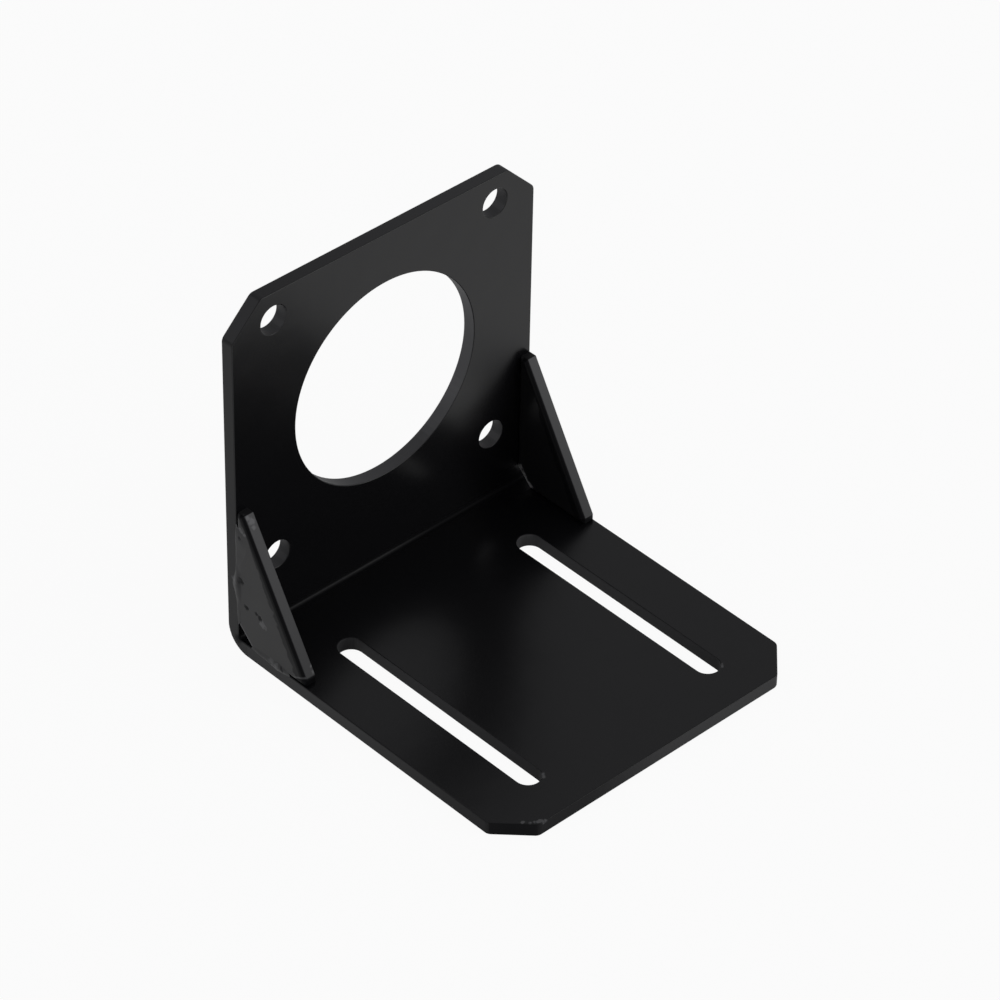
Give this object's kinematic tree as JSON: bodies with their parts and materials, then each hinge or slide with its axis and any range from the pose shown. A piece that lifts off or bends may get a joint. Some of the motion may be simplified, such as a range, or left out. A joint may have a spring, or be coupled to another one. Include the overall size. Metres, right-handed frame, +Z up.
{
  "type": "motor mounting bracket",
  "caption": "Folded steel bracket with welded side gussets: an upright plate with a pilot opening and bolt holes carries a square-flange motor, and the slotted base slides for belt tension.",
  "frame": {"origin": "the middle of the footprint, on the underside of the base", "axes": "+Z up, +X across the bracket from the left gusset to the right one, +Y from the free end of the base towards the upright motor plate, square to that plate"},
  "size_m": [0.0652, 0.0676, 0.068],
  "materials": {
    "black_paint": "satin black paint over steel"
  },
  "bodies": {
    "root": {"folded_plate": "black_paint", "left_gusset": "black_paint", "right_gusset": "black_paint", "left_plate_weld": "black_paint", "left_base_weld": "black_paint", "right_plate_weld": "black_paint", "right_base_weld": "black_paint"}
  },
  "joints": []
}
